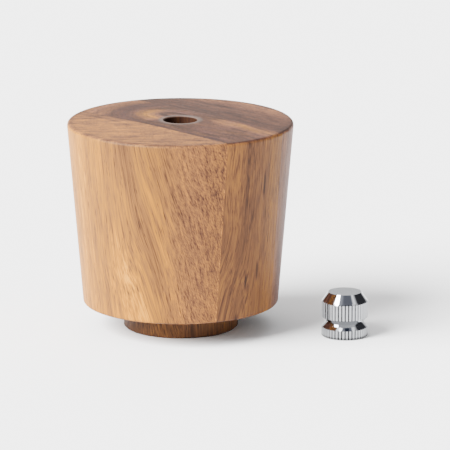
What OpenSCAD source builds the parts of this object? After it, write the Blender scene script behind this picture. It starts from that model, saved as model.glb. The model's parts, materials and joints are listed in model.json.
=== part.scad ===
// Turning head of a pepper mill, lifted off its mill, with the knurled knob that clamps it.
// The head is turned from a blank of three glued boards. Its spigot carries the drive plate.
// Origin: on the head's axis, at the lower end of the spigot. +Z points up, -Y to the front.

/* [Head] */
// Diameter at the top rim
top_d = 60; // [58:0.5:66]
// Diameter at the shoulder, where the cone meets the spigot
shoulder_d = 52; // [46:0.5:57]
// Height from the spigot's end to the seat on top
head_h = 56; // [45:0.5:70]
// Fall of the top face from the seat to the rim
crown = 0.4; // [0.1:0.1:1]
// Radius of the seat that the knob is screwed down on
seat_r = 8; // [7:0.5:12]
// Rounding of the top rim
top_rounding = 0.9; // [0.4:0.1:2]
// Rounding of the shoulder's edge
shoulder_rounding = 0.7; // [0.3:0.1:2]

/* [Spigot] */
// Diameter of the spigot that plugs into the mill's body
spigot_d = 30.4; // [29:0.1:36]
// Length of the spigot below the shoulder
spigot_h = 6.7; // [5:0.1:12]
// Bevel on the spigot's lower edge
spigot_bevel = 0.4; // [0.1:0.1:0.8]

/* [Boards] */
// Thickness of the middle board
board_t = 20; // [19.5:0.5:22]
// Turn of the glue planes about the head's axis
board_turn = 44.2; // [0:0.1:90]

/* [Spindle hole] */
// Diameter of the hole that clears the square spindle
hole_d = 8.8; // [8.6:0.1:9.4]
// Bevel round the hole's upper edge
hole_bevel = 0.3; // [0.1:0.1:0.8]

/* [Drive plate] */
// Diameter of the plate
plate_d = 24; // [23:0.5:26]
// Thickness of the plate
plate_t = 1.2; // [1:0.1:2]
// Depth of the plate's lower face inside the spigot
plate_inset = 0.6; // [0.2:0.1:2]
// Width across the flats of the square hole that turns with the spindle
square_w = 6.2; // [6.1:0.05:6.3]
// Play between the plate's edge and its recess
plate_play = 0.15; // [0.1:0.05:0.3]

/* [Plate screws] */
// Number of screws
screw_count = 3; // [2:1:4]
// Distance of each screw from the head's axis
screw_orbit = 8.8; // [8:0.1:9]
// Diameter of a countersunk head
screw_head_d = 4; // [3.6:0.1:4.2]
// Diameter over the thread
screw_thread_d = 2.2; // [1.8:0.1:2.4]
// Length from the head's face to the point
screw_len = 9.5; // [7:0.5:14]

/* [Knob] */
// Diameter over the knurl
knob_d = 12.3; // [11.5:0.1:14]
// Overall height
knob_h = 11.9; // [11.5:0.1:14]
// Diameter of the flat disc on top
knob_disc_d = 8.75; // [7:0.05:10]
// Height of the bevel between the disc and the upper band
knob_bevel_h = 2.5; // [1.5:0.1:3]
// Height of the lower knurled band
lower_band_h = 2.5; // [1.5:0.1:3]
// Height of the V groove between the bands
groove_h = 2.8; // [2:0.1:3.5]
// Diameter at the bottom of the groove
waist_d = 9.7; // [8.5:0.1:10.5]
// Number of knurl ridges
ridges = 42; // [30:1:54]
// Depth of the furrows between the ridges
furrow_depth = 0.28; // [0.1:0.02:0.36]
// Wall diameter of the threaded hole, for an M6 thread
thread_hole_d = 5; // [4.2:0.1:5.2]
// Depth of the threaded hole's straight wall
thread_hole_h = 8; // [6:0.5:8.5]
// Place of the loose knob beside the head, from the head's axis
knob_place = [43.5, -11, 0];

/* [Hidden] */
SCREWS = [for (i = [1:screw_count]) str("plate_screw_", i)];
$fn = 96;
eps = 0.01;

top_r = top_d / 2;
shoulder_r = shoulder_d / 2;
spigot_r = spigot_d / 2;
rim_z = head_h - crown;
// Lean of the cone's side from the upright
lean = atan((top_r - shoulder_r) / (rim_z - spigot_h));
recess_d = plate_d + 2 * plate_play;
recess_h = plate_inset + plate_t;
screw_head_h = (screw_head_d - screw_thread_d) / 2;
screw_core_d = screw_thread_d - 0.6;
screw_point_h = 1.5;
thread_pitch = 0.8;
knob_r = knob_d / 2;
waist_z = lower_band_h + groove_h / 2;
knob_edge = 0.25;
drill_point_h = thread_hole_d / 2 * tan(31);

// Points along an arc, from angle a0 to angle a1
function arc(centre, r, a0, a1, steps = 8) =
    [for (i = [0:steps]) let (a = a0 + (a1 - a0) * i / steps) centre + r * [cos(a), sin(a)]];

// Half section of the turned blank, from its axis outwards
module blank_section() {
    polygon(concat(
        [[0, 0], [spigot_r - spigot_bevel, 0], [spigot_r, spigot_bevel], [spigot_r, spigot_h]],
        arc([shoulder_r - shoulder_rounding, spigot_h + shoulder_rounding],
            shoulder_rounding, -90, -lean),
        arc([top_r - top_rounding, rim_z - top_rounding], top_rounding, -lean, 90),
        [[seat_r, head_h], [0, head_h]]));
}

// Turns its children to each screw's place, beside the middle board's glue planes
module at_screw(i) {
    rotate([0, 0, board_turn + 90 + 360 * (i - 1) / screw_count])
        translate([screw_orbit, 0, 0]) children();
}

// The blank with the spindle hole, the plate's recess and the screws' pilot holes
module turned_blank() {
    difference() {
        rotate_extrude() blank_section();
        translate([0, 0, -eps]) cylinder(h = head_h + 2 * eps, d = hole_d);
        translate([0, 0, head_h - hole_bevel])
            cylinder(h = hole_bevel + eps, d1 = hole_d, d2 = hole_d + 2 * (hole_bevel + eps));
        translate([0, 0, -eps]) cylinder(h = recess_h + eps, d = recess_d);
        for (i = [1:screw_count])
            at_screw(i) translate([0, 0, recess_h - eps])
                cylinder(h = plate_inset + screw_len - recess_h + 0.3 + eps, d = screw_core_d);
    }
}

// The part of the blank between two glue planes, given by their distances from the axis
module board(from, to) {
    intersection() {
        turned_blank();
        rotate([0, 0, board_turn]) translate([from, -top_r - 1, -1])
            cube([to - from, top_d + 2, head_h + 2]);
    }
}

module board_front_left() {
    color("#c79f70") board(-top_r - 1, -board_t / 2);
}

module board_middle() {
    color("#a98a68") board(-board_t / 2, board_t / 2);
}

module board_back_right() {
    color("#a27e66") board(board_t / 2, top_r + 1);
}

module drive_plate() {
    color("#b4b6b8") difference() {
        translate([0, 0, plate_inset]) cylinder(h = plate_t, d = plate_d);
        translate([-square_w / 2, -square_w / 2, 0]) cube([square_w, square_w, recess_h + 1]);
        for (i = [1:screw_count])
            at_screw(i) {
                translate([0, 0, plate_inset - eps])
                    cylinder(h = plate_t + 2 * eps, d = screw_thread_d + 0.3);
                translate([0, 0, plate_inset - eps])
                    cylinder(h = screw_head_h + 0.05, d1 = screw_head_d + 0.1, d2 = screw_thread_d);
            }
    }
}

// Half section of a screw, point up: a head, a neck, thread ridges and a point
module screw_section() {
    neck_h = plate_t + 0.2;
    turns = floor((screw_len - neck_h - screw_point_h) / thread_pitch);
    core_r = screw_core_d / 2;
    thread_r = screw_thread_d / 2;
    polygon(concat(
        [[0, 0], [screw_head_d / 2, 0], [thread_r, screw_head_h], [core_r, screw_head_h + 0.2]],
        [for (i = [0:turns - 1], side = [0:2]) let (z = neck_h + i * thread_pitch)
            [side == 1 ? thread_r : core_r, z + side * thread_pitch / 2.5]],
        [[core_r, screw_len - screw_point_h], [0, screw_len]]));
}

module plate_screw(i) {
    color("#c9cbcd") at_screw(i) translate([0, 0, plate_inset]) difference() {
        rotate_extrude($fn = 48) screw_section();
        for (turn = [0, 90])
            rotate([0, 0, turn]) translate([-1.15, -0.2, -eps]) cube([2.3, 0.4, 0.7]);
    }
}

// Half section of the knob before knurling
module knob_section() {
    polygon([[0, 0], [knob_r - knob_edge, 0], [knob_r, knob_edge],
        [knob_r, lower_band_h], [waist_d / 2, waist_z], [knob_r, lower_band_h + groove_h],
        [knob_r, knob_h - knob_bevel_h], [knob_disc_d / 2, knob_h], [0, knob_h]]);
}

function ring_point(r, a) = r * [cos(a), sin(a)];

// Outline of the straight knurl: flat ridges with V furrows between them
module knurl_outline() {
    pitch = 360 / ridges;
    half_ridge = 0.29 * pitch;
    reach = knob_r + 0.02;
    polygon([for (i = [0:ridges - 1]) each [
        ring_point(reach, i * pitch - half_ridge),
        ring_point(reach, i * pitch + half_ridge),
        ring_point(knob_r - furrow_depth, (i + 0.5) * pitch)]]);
}

module adjusting_knob() {
    color("#d4d6d9") translate(knob_place) difference() {
        intersection() {
            rotate_extrude() knob_section();
            translate([0, 0, -1]) linear_extrude(height = knob_h + 2) knurl_outline();
        }
        translate([0, 0, -eps]) cylinder(h = thread_hole_h + eps, d = thread_hole_d);
        translate([0, 0, thread_hole_h - eps])
            cylinder(h = drill_point_h, d1 = thread_hole_d, d2 = 0);
        translate([0, 0, -eps])
            cylinder(h = 0.5 + eps, d1 = thread_hole_d + 1 + 2 * eps, d2 = thread_hole_d);
    }
}

board_front_left();
board_middle();
board_back_right();
drive_plate();
for (i = [1:screw_count]) plate_screw(i);
adjusting_knob();
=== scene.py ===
"""Looks of a pepper mill's turning head and its loose adjusting knob.

Everything is in metres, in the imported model's own frame, with the head's axis on Z.
Surfaces are worked out in millimetres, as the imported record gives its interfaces.
"""

import json
import math

import bpy
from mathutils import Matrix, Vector


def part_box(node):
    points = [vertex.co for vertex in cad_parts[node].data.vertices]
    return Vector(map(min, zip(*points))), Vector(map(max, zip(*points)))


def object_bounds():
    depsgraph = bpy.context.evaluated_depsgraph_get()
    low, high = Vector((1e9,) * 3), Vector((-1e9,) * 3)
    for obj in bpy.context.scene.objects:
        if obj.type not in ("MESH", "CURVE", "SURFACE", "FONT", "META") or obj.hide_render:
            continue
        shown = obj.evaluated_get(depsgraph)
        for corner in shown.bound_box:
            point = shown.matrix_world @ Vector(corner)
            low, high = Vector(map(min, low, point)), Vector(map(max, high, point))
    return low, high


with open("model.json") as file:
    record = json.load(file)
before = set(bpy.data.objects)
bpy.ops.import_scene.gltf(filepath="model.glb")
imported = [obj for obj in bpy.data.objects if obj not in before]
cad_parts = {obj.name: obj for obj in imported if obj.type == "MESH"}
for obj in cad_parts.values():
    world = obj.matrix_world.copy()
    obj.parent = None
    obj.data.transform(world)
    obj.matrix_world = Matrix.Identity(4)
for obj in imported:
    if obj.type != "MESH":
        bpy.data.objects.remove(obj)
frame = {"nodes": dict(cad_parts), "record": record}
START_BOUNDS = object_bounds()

MM = 0.001
# Sizes of the head in millimetres. Only the head reaches to the left, so it sets the box there.
DIMS = {mount["name"]: mount["dims"] for mount in frame["record"]["mounts"]}
TOP_R = -START_BOUNDS[0].x / MM
HOLE_R = DIMS["spindle_hole"]["r_mm"]
SPIGOT_R = DIMS["spigot"]["r_mm"]
SHOULDER_Z = DIMS["spigot"]["length_mm"]
# Turn of the glue planes between the boards about the head's axis
GLUE_TURN = math.radians(44.2)

# The camera's downward tilt, its distance, its lens in millimetres, and what it is aimed at,
# from the middle of the whole object's box
CAMERA_PITCH = math.radians(13.66)
CAMERA_DISTANCE = 1.3
CAMERA_LENS = 389
CAMERA_AIM = Vector((0.00198, 0.00626, -0.00222))

# The floor reaches so far from the middle that its edge isn't seen
FLOOR_REACH = 30.0
FLOOR_COLOR = (0.85, 0.85, 0.85, 1)

# The key light: where it comes from, its strength and its apparent width
KEY_FROM = Vector((-0.80, -0.40, 0.66))
KEY_ENERGY = 22.4
KEY_WIDTH = math.radians(44)
# The plain studio, and its patches: direction, degrees to the full and the faded edge, colour
STUDIO_COLOR = (1.2, 1.2, 1.2, 1)
CEILING = ((0.0, 0.0, 1.0), 20, 75, (2.6, 2.6, 2.6))
DARK_WALL = ((0.85, 0.32, 0.45), 24, 44, (0.055, 0.055, 0.062))
GREY_PANEL = ((0.06, -0.52, 0.85), 25, 29, (0.64, 0.66, 0.73))
PANEL_CORE = ((0.20, -0.50, 0.84), 12, 28, (0.23, 0.24, 0.285))
LAMP = ((-0.24, -0.24, 0.94), 4, 8, (7.0, 7.0, 7.0))
DARK_GAP = ((0.14, -0.31, 0.94), 5, 9, (0.04, 0.05, 0.08))
PATCHES = [CEILING, DARK_WALL, GREY_PANEL, PANEL_CORE, LAMP, DARK_GAP]

# Colours of the oiled wood by its tone, from ink-dark vessels to pale sapwood
WOOD_TONES = [
    (0.000, (0.006, 0.004, 0.003)),
    (0.040, (0.038, 0.016, 0.007)),
    (0.100, (0.099, 0.041, 0.012)),
    (0.145, (0.145, 0.060, 0.012)),
    (0.200, (0.200, 0.080, 0.006)),
    (0.290, (0.290, 0.110, 0.002)),
    (0.400, (0.400, 0.170, 0.010)),
]
PALEST = WOOD_TONES[-1][0]
# Added to the colour in proportion to its tone where the heartwood is pink
BLUSH = (0.008, 0.004, 0.058, 1)
# Painted shade inside the spindle hole, near black where the deep bore lies in shade, and a grey ring
# round the hole
BORE_SHADE = (0.013, 0.0040, 0.0022)
HOLE_RING = (0.080, 0.062, 0.054)
# Ink-dark streaks of the middle board: distance across, half width, lower and upper end
INK = [
    (3.1, 0.5, 38.0, 47.5),
    (2.0, 0.7, 15.5, 23.5),
    (-2.0, 0.6, 14.0, 20.0),
    (-4.4, 0.6, 3.0, 9.0),
]

CHROME = (0.52, 0.53, 0.55)
STEEL = (0.56, 0.55, 0.53)
ZINC = (0.50, 0.51, 0.52)


# ---------------------------------------------------------------- node trees

class Tree:
    """Short calls for building a node tree. Values may be numbers, colours or sockets."""

    def __init__(self, owner):
        owner.use_nodes = True
        self.nodes = owner.node_tree.nodes
        self.links = owner.node_tree.links

    def put(self, socket, value):
        """Links a socket to the value, or sets it when the value is a constant."""
        if isinstance(value, bpy.types.NodeSocket):
            self.links.new(value, socket)
        else:
            socket.default_value = value

    def add(self, kind, *values, **settings):
        """A new node with its settings, and with its first inputs filled in order."""
        node = self.nodes.new("ShaderNode" + kind)
        for name, setting in settings.items():
            setattr(node, name, setting)
        for socket, value in zip(node.inputs, values):
            self.put(socket, value)
        return node

    def math(self, operation, *values):
        return self.add("Math", *values, operation=operation).outputs[0]

    def plus(self, *values):
        total = values[0]
        for value in values[1:]:
            total = self.math("ADD", total, value)
        return total

    def times(self, *values):
        product = values[0]
        for value in values[1:]:
            product = self.math("MULTIPLY", product, value)
        return product

    def dot(self, vector, direction):
        return self.add("VectorMath", vector, direction, operation="DOT_PRODUCT").outputs["Value"]

    def split(self, vector):
        return self.add("SeparateXYZ", vector).outputs[:3]

    def join(self, x, y, z):
        return self.add("CombineXYZ", x, y, z).outputs[0]

    def step(self, value, low, high, first=0.0, last=1.0):
        """Goes smoothly from first to last as the value goes from low to high."""
        node = self.add("MapRange", value, low, high, first, last, interpolation_type="SMOOTHSTEP")
        return node.outputs[0]

    def mix(self, factor, first, second, blend="MIX"):
        node = self.add("Mix", data_type="RGBA", blend_type=blend)
        self.put(node.inputs[0], factor)
        self.put(node.inputs[6], first)
        self.put(node.inputs[7], second)
        return node.outputs[2]

    def ramp(self, factor, stops, mode="EASE"):
        """Colours along a factor from 0 to 1, given as pairs of place and colour."""
        node = self.add("ValToRGB", factor)
        ramp = node.color_ramp
        ramp.interpolation = mode
        while len(ramp.elements) < len(stops):
            ramp.elements.new(0.5)
        for element, (place, color) in zip(ramp.elements, stops):
            element.position = place
            element.color = (*color, 1)
        return node.outputs[0]


class Surface(Tree):
    """A material's tree, with the place on the object in millimetres, from a centre in plan."""

    def __init__(self, name, centre=(0, 0)):
        self.material = bpy.data.materials.new(name)
        super().__init__(self.material)
        coord = self.add("TexCoord")
        scaled = self.add("VectorMath", coord.outputs["Object"], operation="SCALE")
        scaled.inputs["Scale"].default_value = 1 / MM
        x, y, self.z = self.split(scaled.outputs[0])
        self.x, self.y = self.plus(x, -centre[0]), self.plus(y, -centre[1])
        self.place = self.join(self.x, self.y, self.z)
        flat = self.join(self.x, self.y, 0.0)
        self.radius = self.add("VectorMath", flat, operation="LENGTH").outputs["Value"]
        self.upward = self.split(coord.outputs["Normal"])[2]

    def centred(self, noise):
        """Noise between zero and one, stretched to lie about zero."""
        return self.plus(self.times(noise, 2.0), -1.0)

    def noise(self, vector, scale=1.0, detail=2.0, roughness=0.5):
        """Smooth noise about zero, mostly within one half."""
        node = self.add("TexNoise")
        self.put(node.inputs["Vector"], vector)
        node.inputs["Scale"].default_value = scale
        node.inputs["Detail"].default_value = detail
        node.inputs["Roughness"].default_value = roughness
        return self.centred(node.outputs[0])

    def cover(self, color, roughness, relief, strength, depth):
        """Sets the colour, the roughness and a relief whose depth is in millimetres."""
        shader = self.nodes["Principled BSDF"]
        self.put(shader.inputs["Base Color"], color)
        self.put(shader.inputs["Roughness"], roughness)
        bump = self.add("Bump")
        bump.inputs["Strength"].default_value = strength
        bump.inputs["Distance"].default_value = depth * MM
        self.put(bump.inputs["Height"], relief)
        self.put(shader.inputs["Normal"], bump.outputs[0])
        return shader


# ---------------------------------------------------------------- camera, floor and light

def add_camera():
    """A long lens that looks down a little on the head and the knob from the front."""
    aim = (START_BOUNDS[0] + START_BOUNDS[1]) / 2 + CAMERA_AIM
    back = Vector((0, -math.cos(CAMERA_PITCH), math.sin(CAMERA_PITCH)))
    data = bpy.data.cameras.new("camera")
    data.sensor_width = 36
    data.lens = CAMERA_LENS
    data.clip_end = 50
    camera = bpy.data.objects.new("camera", data)
    camera.location = aim + CAMERA_DISTANCE * back
    camera.rotation_euler = (math.pi / 2 - CAMERA_PITCH, 0, 0)
    bpy.context.collection.objects.link(camera)
    bpy.context.scene.camera = camera


def add_floor():
    """A wide pale sheet under the head and the knob."""
    corners = [(FLOOR_REACH * x, FLOOR_REACH * y, 0) for x, y in ((-1, -1), (1, -1), (1, 1), (-1, 1))]
    mesh = bpy.data.meshes.new("floor")
    mesh.from_pydata(corners, [], [(0, 1, 2, 3)])
    floor = bpy.data.objects.new("floor", mesh)
    floor.location.z = START_BOUNDS[0].z
    bpy.context.collection.objects.link(floor)
    material = bpy.data.materials.new("floor")
    material.use_nodes = True
    shader = material.node_tree.nodes["Principled BSDF"]
    shader.inputs["Base Color"].default_value = FLOOR_COLOR
    shader.inputs["Roughness"].default_value = 0.9
    shader.inputs["Specular IOR Level"].default_value = 0.2
    mesh.materials.append(material)


def add_light():
    """A soft key from the left, under a studio that is bright overhead and dark at the right."""
    world = bpy.data.worlds.new("studio")
    bpy.context.scene.world = world
    tree = Tree(world)
    direction = tree.add("TexCoord").outputs["Generated"]
    color = STUDIO_COLOR
    for toward, full, faded, patch in PATCHES:
        nearness = tree.dot(direction, Vector(toward).normalized())
        inside = tree.step(nearness, math.cos(math.radians(faded)), math.cos(math.radians(full)))
        color = tree.mix(inside, color, (*patch, 1))
    tree.put(tree.nodes["Background"].inputs["Color"], color)
    sun = bpy.data.lights.new("key", "SUN")
    sun.energy = KEY_ENERGY
    sun.angle = KEY_WIDTH
    key = bpy.data.objects.new("key", sun)
    key.rotation_euler = KEY_FROM.to_track_quat("Z", "Y").to_euler()
    bpy.context.collection.objects.link(key)


# ---------------------------------------------------------------- wood

class Wood(Surface):
    """A board's material. Its fibres run along z, and a tone is how bright the wood is there."""

    def __init__(self, name):
        super().__init__(name)
        self.across = self.dot(self.place, (math.cos(GLUE_TURN), math.sin(GLUE_TURN), 0))
        self.along = self.dot(self.place, (-math.sin(GLUE_TURN), math.cos(GLUE_TURN), 0))
        self.end_grain = self.step(self.math("ABSOLUTE", self.upward), 0.45, 0.85)
        # One on the spigot's side, fading towards the axis, and zero above the shoulder
        self.spigot = self.times(self.step(self.z, SHOULDER_Z - 0.04, SHOULDER_Z - 0.2),
                                 self.step(self.radius, 8.0, SPIGOT_R - 0.2))

    def figure(self, x, y, z, detail, roughness, stretch):
        """Noise about zero, with features as long as the stretch along each coordinate."""
        place = self.join(self.times(x, 1 / stretch[0]), self.times(y, 1 / stretch[1]),
                          self.times(z, 1 / stretch[2]))
        return self.noise(place, 1.0, detail, roughness)

    def drift(self, width, length, reach):
        """How far the bands stray sideways from their course, in millimetres."""
        stray = self.figure(self.x, self.y, self.z, 1.0, 0.5, (width, width, length))
        return self.times(stray, reach)

    def profile(self, value, stops):
        """A number that follows the given pairs of place and number. None may be below zero."""
        low, high = stops[0][0], stops[-1][0]
        share = self.add("MapRange", value, low, high, 0.0, 1.0).outputs[0]
        return self.ramp(share, [((p - low) / (high - low), (v, v, v)) for p, v in stops])

    def blend(self, factor, first, second):
        """Goes from the first number to the second."""
        return self.plus(self.times(first, self.plus(1.0, self.times(factor, -1.0))),
                         self.times(second, factor))

    def fade(self, tone, *shares):
        """The tone, made brighter or darker by the sum of the shares."""
        return self.times(tone, self.plus(1.0, *shares))

    def vessels(self, x, y, z, size, width, share, seed=0.0):
        """One inside the short dark vessels that run along z, zero elsewhere."""
        node = self.add("TexVoronoi", feature="F1")
        self.put(node.inputs["Vector"], self.join(
            self.plus(self.times(x, 1 / size[0]), seed), self.times(y, 1 / size[1]),
            self.times(z, 1 / size[2])))
        node.inputs["Scale"].default_value = 1.0
        chosen = self.math("LESS_THAN", self.split(node.outputs["Color"])[0], share)
        near = self.step(node.outputs["Distance"], width, width * 0.45)
        return self.times(chosen, near)

    def finish(self, tone, relief, blush, marks=()):
        """Colour from the tone, pinker where it blushes; then the marks, and the painted shade inside
        the hole.
        """
        color = self.ramp(self.times(tone, 1 / PALEST),
                          [(place / PALEST, hue) for place, hue in WOOD_TONES], "LINEAR")
        color = self.mix(self.times(tone, blush), color, BLUSH, "ADD")
        # Painted shade inside the spindle hole
        bore_shade = self.step(self.radius, HOLE_R + 0.22, HOLE_R + 0.05, 0.0, 0.9)
        for mask, stain in (*marks, (bore_shade, BORE_SHADE)):
            color = self.mix(mask, color, (*stain, 1))
        roughness = self.plus(0.50, self.times(relief, -0.10))
        shader = self.cover(color, roughness, relief, strength=0.6, depth=0.06)
        shader.inputs["Specular IOR Level"].default_value = 0.10
        return self.material


def add_grain(wood, tone, band, fine=1.4, fleck=0.0, streaky=0.7):
    """Fibre streaks, fine fibres and vessels over a board's broad tones; gives tone and relief.

    They follow the bands. On end grain the streaks are weaker.
    """
    y, z = wood.y, wood.z
    streaks = wood.figure(band, y, z, 3.0, 0.6, (1.2, 1.2, 55))
    fibres = wood.figure(band, y, z, 2.0, 0.75, (0.33, 0.33, 13))
    mottle = wood.figure(band, y, z, 2.0, 0.5, (3.5, 3.5, 30))
    pores = wood.vessels(band, y, z, (0.9, 0.9, 9.0), 0.20, 0.42)
    dashes = wood.vessels(band, y, z, (0.55, 0.55, 3.4), 0.27, 0.34, 5.0)
    slant = wood.plus(band, wood.times(z, 0.34))
    flecks = wood.figure(slant, y, z, 1.0, 0.6, (0.20, 0.44, 0.80))
    flecks = wood.times(wood.step(flecks, -0.04, 0.20), fleck)
    side = wood.plus(1.0, wood.times(wood.end_grain, -0.55))
    tone = wood.fade(tone, wood.times(streaks, streaky, side),
                     wood.times(fibres, fine), wood.times(mottle, 0.30))
    for vessels, depth in ((pores, -0.62), (dashes, -0.52), (flecks, -0.44)):
        tone = wood.fade(tone, wood.times(vessels, depth))
    relief = wood.plus(wood.times(fibres, 0.6), wood.times(streaks, 0.3),
                       wood.times(pores, -1.0), wood.times(dashes, -0.6),
                       wood.times(flecks, -0.4))
    return tone, relief


def painted_shade(wood, tone, spigot_shade):
    """Painted shade: darkens the spigot by a share, where it lies under the head's overhang, and a
    line inside the top rim, where the edge rounds over.
    """
    rim = wood.times(wood.end_grain, wood.step(wood.radius, TOP_R - 2.1, TOP_R - 1.1))
    return wood.fade(tone, wood.times(wood.spigot, -spigot_shade), wood.times(rim, -0.22))


def honey_side(wood, band, ring):
    """The front left board's side: slanting bands in front and fine lines at the left."""
    tone = wood.profile(band, [
        (-30, 0.27), (-25, 0.260), (-23.2, 0.228), (-21, 0.210), (-19.4, 0.195), (-16, 0.18),
        (-12.5, 0.16), (-10.2, 0.121), (-8.4, 0.131), (-7.0, 0.155), (-5.4, 0.190),
        (-3.6, 0.155), (0, 0.157), (4, 0.157), (8, 0.168), (11, 0.168)])
    # A pale band low down with a darker one at its left, and darker wood towards the rim
    glow = wood.profile(band, [(-20.5, 0.0), (-17.6, 0.08), (-15.4, 0.115), (-13.2, 0.0)])
    shade = wood.profile(band, [(-23.6, 0.0), (-21.4, 0.035), (-19.4, 0.0)])
    crest = wood.profile(wood.x, [
        (-22.5, 0.0), (-18.5, 0.035), (-14, 0.035), (-9, 0.016), (-3, 0.014), (1, 0.0)])
    tone = wood.plus(tone, wood.times(glow, wood.step(wood.z, 36, 20)),
                     wood.times(shade, wood.step(wood.z, 46, 38), -1),
                     wood.times(crest, wood.step(wood.z, 38, 46), -1))
    lines = wood.step(wood.x, -12, -19)
    tone = wood.fade(tone, wood.times(ring, lines, 0.6))
    # Paler right beside the glue line and low down in front
    joint = wood.step(wood.across, -10.45, -10.15)
    low = wood.times(wood.step(wood.z, 24, 12), wood.step(wood.x, -8, -2))
    return wood.fade(tone, wood.times(joint, 0.35), wood.times(low, 0.22), -0.04)


def honey_end(wood, drift, ring):
    """The front left board's top: year rings, with darker lines near the glue line at the back."""
    tone = wood.profile(wood.along, [
        (-24, 0.12), (-6, 0.135), (3, 0.168), (9, 0.180), (18, 0.145)])
    tone = wood.fade(tone, wood.times(ring, 1.9))
    edge = wood.profile(wood.plus(wood.across, drift), [
        (-17, 0.0), (-15.4, 0.28), (-14.4, 0.05), (-12.8, 0.45), (-11.8, 0.2), (-10, 0.6)])
    edge = wood.times(edge, wood.step(wood.along, 0, 14))
    return wood.fade(tone, wood.times(edge, -1.0))


def honey_board():
    """The front left board: honey with fine lines at the left, slanting bands in front."""
    wood = Wood("honey_board")
    drift = wood.drift(16, 34, 2.2)
    # The bands lean more towards the front, about a point halfway up
    lean = wood.step(wood.x, -22, -8, 3.0, 13.0)
    height = wood.times(wood.plus(wood.z, -31), 1 / 48)
    band = wood.plus(wood.x, wood.times(lean, height), drift)
    ring = wood.figure(wood.plus(wood.y, wood.times(drift, 0.5)), wood.x, wood.z, 4.0, 0.7,
                       (1.8, 9, 60))
    tone = wood.blend(wood.end_grain, honey_side(wood, band, ring), honey_end(wood, drift, ring))
    # The spigot gets painted shade at the left, where the key lights it, and painted light in front,
    # to even out its light
    tone = wood.blend(wood.times(wood.spigot, 0.8), tone, wood.step(wood.x, -13, -1, 0.09, 0.27))
    fleck = wood.times(wood.step(wood.x, -6, 3), wood.plus(1.0, wood.times(wood.end_grain, -0.8)))
    fine = wood.step(wood.x, -22, -10, 1.3, 1.6)
    streaky = wood.step(wood.x, -20, -12, 0.45, 0.7)
    tone, relief = add_grain(wood, tone, band, fine, fleck, streaky)
    blush = wood.blend(wood.end_grain, wood.step(wood.x, -8, 6, 0.1, 1.2), 0.9)
    return wood.finish(painted_shade(wood, tone, 0.58), relief, blush)


def streaked_side(wood, band, drift):
    """The middle board's side: honey by the glue line, then grey brown, then a yellow stripe."""
    tone = wood.profile(band, [
        (-10, 0.09), (-9.4, 0.12), (-8, 0.14), (-5.5, 0.130), (-3.9, 0.115), (-3.2, 0.075),
        (-2.6, 0.100), (0, 0.100), (2.5, 0.120), (4.2, 0.100), (5.0, 0.140), (7, 0.155),
        (9.6, 0.150), (10.5, 0.12)])
    for at, half, low, high in INK:
        offset = wood.math("ABSOLUTE", wood.plus(wood.across, wood.times(drift, 0.4), -at))
        middle, reach = (low + high) / 2, (high - low) / 2
        rise = wood.math("ABSOLUTE", wood.plus(wood.z, -middle))
        ink = wood.times(wood.step(offset, half, 0.1), wood.step(rise, reach, reach * 0.3),
                         wood.step(wood.along, 0, -8))
        tone = wood.fade(tone, wood.times(ink, -0.75))
    lines = wood.figure(band, wood.along, wood.z, 3.0, 0.7, (1.0, 9, 70))
    honey = wood.profile(wood.z, [(8, 0.93), (14, 0.92), (24, 0.77), (37, 1.0), (48, 1.19)])
    brown = wood.step(wood.z, 15, 46, 1.09, 0.92)
    tone = wood.fade(tone, wood.times(lines, 0.45))
    return wood.times(tone, wood.blend(wood.step(band, -4.5, -2), honey, brown))


def streaked_board():
    """The middle board: streaks down its side, and hairpin rings round the spindle hole on top."""
    wood = Wood("streaked_board")
    drift = wood.drift(12, 26, 1.2)
    # Low down the bands swing towards the front glue line
    swing = wood.times(wood.step(wood.z, 32, 3, 0.0, 5.0), wood.step(wood.across, 3, -5))
    band = wood.plus(wood.across, swing, drift)
    side = streaked_side(wood, band, drift)
    # On top the rings run straight in front of the hole and bend round a point behind it
    drift = wood.times(drift, 0.9)
    apart = wood.plus(wood.across, drift, -2.65)
    back = wood.math("SMOOTH_MAX", wood.plus(wood.along, -7.3), 0.0, 4.0)
    arc = wood.math("SQRT", wood.plus(wood.times(apart, apart), wood.times(back, back)))
    end = wood.profile(arc, [
        (0, 0.048), (3, 0.052), (7, 0.047), (10, 0.042), (12.5, 0.036), (15.5, 0.044),
        (17.5, 0.085), (20.5, 0.13)])
    # Paler wood in the hairpin's bend and in a stripe towards the front
    patch = wood.profile(arc, [(2.0, 0.0), (4.2, 0.075), (5.8, 0.110), (7.6, 0.080), (10, 0.0)])
    patch = wood.times(patch, wood.step(wood.along, 3, 8), wood.step(wood.across, 7, 2))
    stripe = wood.profile(wood.plus(wood.across, wood.times(drift, 0.7)), [
        (2.9, 0.0), (5.3, 0.060), (7.4, 0.075), (9.3, 0.0)])
    pale = wood.plus(patch, wood.times(stripe, wood.step(wood.along, -4, -11)))
    ring = wood.figure(arc, wood.along, wood.z, 4.0, 0.75, (1.6, 10, 60))
    end = wood.fade(wood.plus(end, pale), wood.times(ring, 1.7))
    tone = wood.blend(wood.end_grain, side, end)
    tone, relief = add_grain(wood, tone, band, fine=1.5, streaky=0.35)
    # Pink rings on top, where the wood isn't pale; on the side the stripe is pinker low down
    pink = wood.figure(wood.plus(arc, 7.0), wood.along, wood.z, 2.0, 0.5, (3, 9, 60))
    pink = wood.plus(1.5, wood.times(pink, 2.4), wood.times(pale, -8.5))
    stripe_blush = wood.step(wood.z, 14, 46, 1.0, 0.45)
    blush = wood.blend(wood.end_grain, wood.blend(wood.step(band, 7, 2), stripe_blush, 0.9),
                       wood.math("MAXIMUM", pink, 0.1))
    # A grey ring round the spindle hole on top
    hole_ring = wood.times(wood.step(wood.radius, HOLE_R + 2.0, HOLE_R + 0.6), wood.end_grain, 0.7)
    return wood.finish(painted_shade(wood, tone, 0.15), relief, blush, [(hole_ring, HOLE_RING)])


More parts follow.
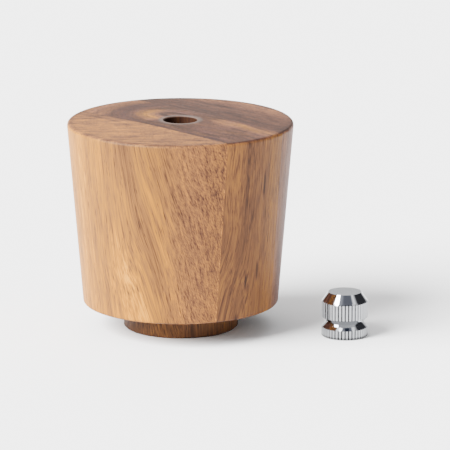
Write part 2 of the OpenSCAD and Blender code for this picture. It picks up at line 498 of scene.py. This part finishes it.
def mauve_board():
    """The back right board: mauve brown with darker streaks beside the glue line."""
    wood = Wood("mauve_board")
    band = wood.plus(wood.across, wood.drift(12, 26, 1.6))
    side = wood.profile(band, [
        (9, 0.11), (11, 0.130), (13, 0.105), (15, 0.125), (18, 0.145), (21, 0.125),
        (24, 0.155), (28, 0.13), (31, 0.15)])
    side = wood.times(side, wood.step(wood.z, 34, 12, 1.0, 1.10),
                      wood.step(wood.y, -9, -3, 1.0, 0.82))
    end = wood.profile(band, [
        (9, 0.040), (10.6, 0.028), (12.2, 0.040), (13.4, 0.028), (15, 0.040), (18, 0.048),
        (21, 0.050), (23.5, 0.090), (26, 0.100), (31, 0.080)])
    ring = wood.figure(band, wood.along, wood.z, 4.0, 0.7, (1.6, 12, 60))
    end = wood.fade(end, wood.times(ring, 1.6))
    tone = wood.blend(wood.end_grain, side, end)
    tone, relief = add_grain(wood, tone, band)
    pink = wood.profile(wood.y, [(-12, 1.7), (-6, 3.0), (1, 3.0), (9, 1.6)])
    blush = wood.blend(wood.end_grain, pink, 1.5)
    return wood.finish(painted_shade(wood, tone, 0.3), relief, blush)


# ---------------------------------------------------------------- metal

class Metal(Surface):
    """A metal's material, round an upright axis."""

    def finish(self, color, shade, roughness, relief, depth):
        """Metal of one colour times a shade, with its own roughness and relief."""
        tint = self.add("VectorMath", color, operation="SCALE")
        self.put(tint.inputs["Scale"], shade)
        shader = self.cover(tint.outputs[0], roughness, relief, strength=0.5, depth=depth)
        shader.inputs["Metallic"].default_value = 1.0
        return self.material


def knob_chrome():
    """Bright chrome with a turned disc on top, rougher in the knurl's furrows, with painted shade in
    the furrows and over the knurled bands, and a painted reflection of the contact shadow along the
    foot.
    """
    low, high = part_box("adjusting_knob")
    centre = (low + high) / 2 / MM
    outer = (high.x - low.x) / 2 / MM
    top, bottom = high.z / MM, low.z / MM
    metal = Metal("knob_chrome", centre[:2])
    # The knurled bands, apart from the bevel and the groove; their colour carries painted shade from
    # the furrows between the ridges
    upright = metal.times(metal.step(metal.math("ABSOLUTE", metal.upward), 0.3, 0.1),
                          metal.step(metal.radius, outer - 0.4, outer - 0.3))
    # Painted shade in the knurl's furrows, which are also rougher
    furrow = metal.times(metal.step(metal.radius, outer - 0.02, outer - 0.24), upright)
    # Painted reflection of the dark contact shadow along the knob's foot
    foot = metal.step(metal.z, bottom + 0.9, bottom + 0.3)
    disc = metal.times(metal.step(metal.z, top - 0.06, top - 0.02),
                       metal.step(metal.upward, 0.9, 0.97))
    turned = metal.add("TexNoise", noise_dimensions="1D")
    metal.put(turned.inputs["W"], metal.times(metal.radius, 1.7))
    turned.inputs["Detail"].default_value = 3.0
    rings = metal.times(metal.centred(turned.outputs[0]), disc)
    stain = metal.noise(metal.place, 0.5, 3.0)
    shade = metal.plus(1.0, metal.times(furrow, -0.45), metal.times(upright, -0.42),
                       metal.times(disc, -0.28), metal.times(rings, 0.9),
                       metal.times(stain, 0.06), metal.times(foot, -0.45))
    roughness = metal.plus(0.05, metal.times(disc, 0.30), metal.times(upright, 0.07),
                           metal.times(furrow, 0.34), metal.times(stain, 0.03))
    relief = metal.plus(rings, metal.times(stain, 0.05))
    return metal.finish(CHROME, shade, roughness, relief, 0.03)


def plate_steel():
    """Stamped stainless steel, brushed one way and scratched by the spindle."""
    metal = Metal("plate_steel")
    brush = metal.add("Mapping", metal.place)
    brush.inputs["Scale"].default_value = (0.15, 6.0, 1.0)
    strokes = metal.noise(brush.outputs[0], 1.0, 4.0)
    stain = metal.noise(metal.place, 0.25, 3.0)
    scratched = metal.step(metal.radius, HOLE_R + 1.0, HOLE_R)
    shade = metal.plus(1.0, metal.times(strokes, 0.30), metal.times(stain, 0.12),
                       metal.times(scratched, 0.10))
    roughness = metal.plus(0.32, metal.times(strokes, 0.16), metal.times(stain, 0.10))
    return metal.finish(STEEL, shade, roughness, strokes, 0.02)


def screw_zinc():
    """Zinc-plated screws with a faint mottle."""
    metal = Metal("screw_zinc")
    mottle = metal.noise(metal.place, 1.3, 4.0)
    fine = metal.noise(metal.place, 8.0)
    shade = metal.plus(1.0, metal.times(mottle, 0.25))
    roughness = metal.plus(0.24, metal.times(mottle, 0.12), metal.times(fine, 0.06))
    return metal.finish(ZINC, shade, roughness, fine, 0.01)


add_camera()
add_floor()
add_light()
screws = screw_zinc()
materials = {
    "board_front_left": honey_board(),
    "board_middle": streaked_board(),
    "board_back_right": mauve_board(),
    "drive_plate": plate_steel(),
    "adjusting_knob": knob_chrome(),
}
for name, node in frame["nodes"].items():
    for slot in node.material_slots:
        slot.material = materials.get(name, screws)
